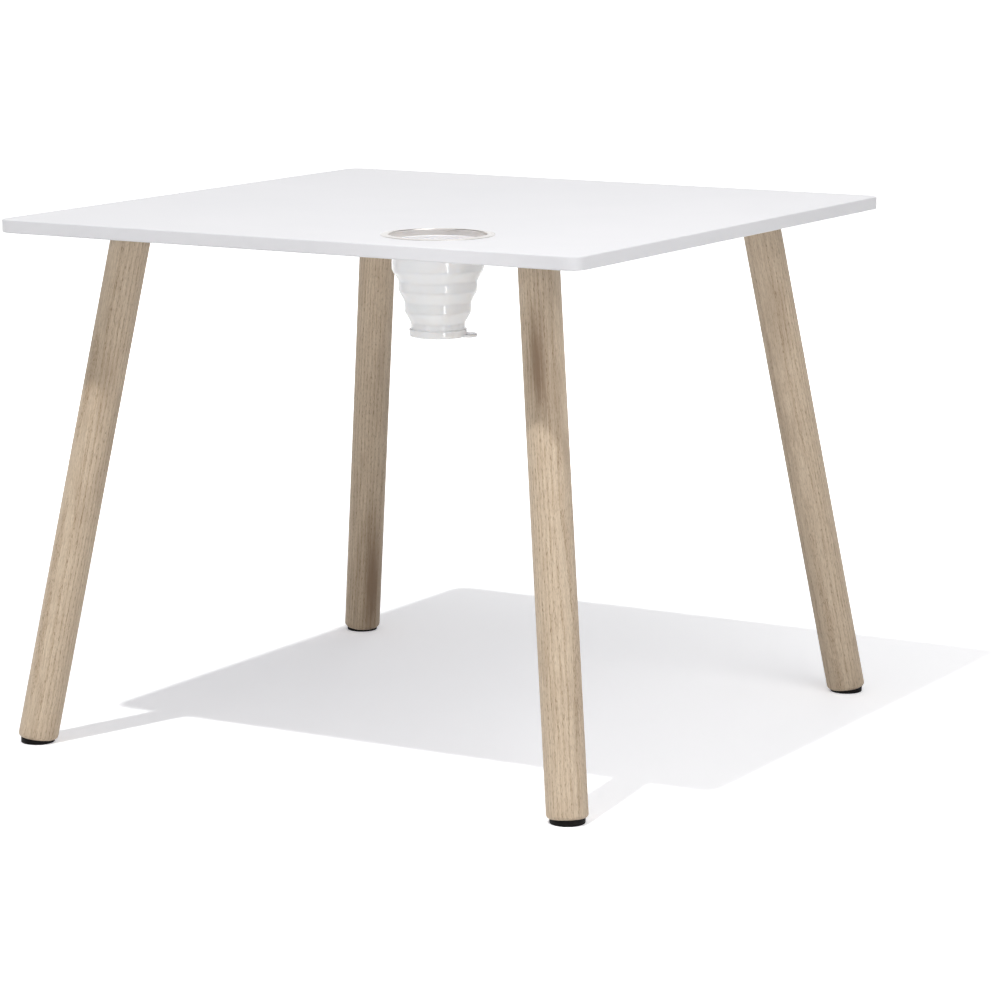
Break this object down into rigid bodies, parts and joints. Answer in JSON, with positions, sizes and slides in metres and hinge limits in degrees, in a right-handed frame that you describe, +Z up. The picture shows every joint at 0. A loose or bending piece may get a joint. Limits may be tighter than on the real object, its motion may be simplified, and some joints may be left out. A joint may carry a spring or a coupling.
{
  "type": "childrens table",
  "caption": "Low square children's table with a thin white top on splayed round wooden legs, and a folding cup hung by a steel rim in a hole near the front edge.",
  "frame": {"origin": "on the floor under the middle of the board", "axes": "+Z up, +X along the front edge towards the front right leg, +Y from the front edge, where the cup is, to the back"},
  "size_m": [0.6, 0.6, 0.486],
  "materials": {
    "white_board": "white satin lacquer on fibreboard",
    "oak": "solid oak, white-oiled, matt",
    "zinc_steel": "zinc-plated steel",
    "black_plastic": "moulded black polyamide",
    "polished_steel": "polished stainless steel",
    "silicone": "milky translucent moulded silicone"
  },
  "bodies": {
    "table": {"table_top": "white_board", "leg_front_left": "oak", "leg_front_right": "oak", "leg_back_right": "oak", "leg_back_left": "oak", "leg_bracket_front_left": "zinc_steel", "leg_bracket_front_right": "zinc_steel", "leg_bracket_back_right": "zinc_steel", "leg_bracket_back_left": "zinc_steel", "bracket_screws_front_left": "zinc_steel", "bracket_screws_front_right": "zinc_steel", "bracket_screws_back_right": "zinc_steel", "bracket_screws_back_left": "zinc_steel", "hanger_bolt_front_left": "zinc_steel", "hanger_bolt_front_right": "zinc_steel", "hanger_bolt_back_right": "zinc_steel", "hanger_bolt_back_left": "zinc_steel", "glide_front_left": "black_plastic", "glide_front_right": "black_plastic", "glide_back_right": "black_plastic", "glide_back_left": "black_plastic", "glide_screw_front_left": "zinc_steel", "glide_screw_front_right": "zinc_steel", "glide_screw_back_right": "zinc_steel", "glide_screw_back_left": "zinc_steel"},
    "cup": {"cup_rim": "polished_steel", "cup_collar": "silicone", "cup_web_upper": "silicone"},
    "cup_tier_upper": {"cup_band_upper": "silicone", "cup_web_middle": "silicone"},
    "cup_tier_lower": {"cup_band_lower": "silicone", "cup_web_lower": "silicone"},
    "cup_foot": {"cup_base": "silicone"}
  },
  "joints": [
    {"name": "cup_lift", "type": "slide", "parent": "table", "child": "cup", "axis": [0, 0, 1], "range_m": [0, 0.1]},
    {"name": "fold_upper", "type": "slide", "parent": "cup", "child": "cup_tier_upper", "axis": [0, 0, 1], "range_m": [0, 0.018], "deforming": ["cup_web_upper"]},
    {"name": "fold_middle", "type": "slide", "parent": "cup_tier_upper", "child": "cup_tier_lower", "axis": [0, 0, 1], "range_m": [0, 0.018], "deforming": ["cup_web_middle"]},
    {"name": "fold_lower", "type": "slide", "parent": "cup_tier_lower", "child": "cup_foot", "axis": [0, 0, 1], "range_m": [0, 0.018], "deforming": ["cup_web_lower"]}
  ]
}
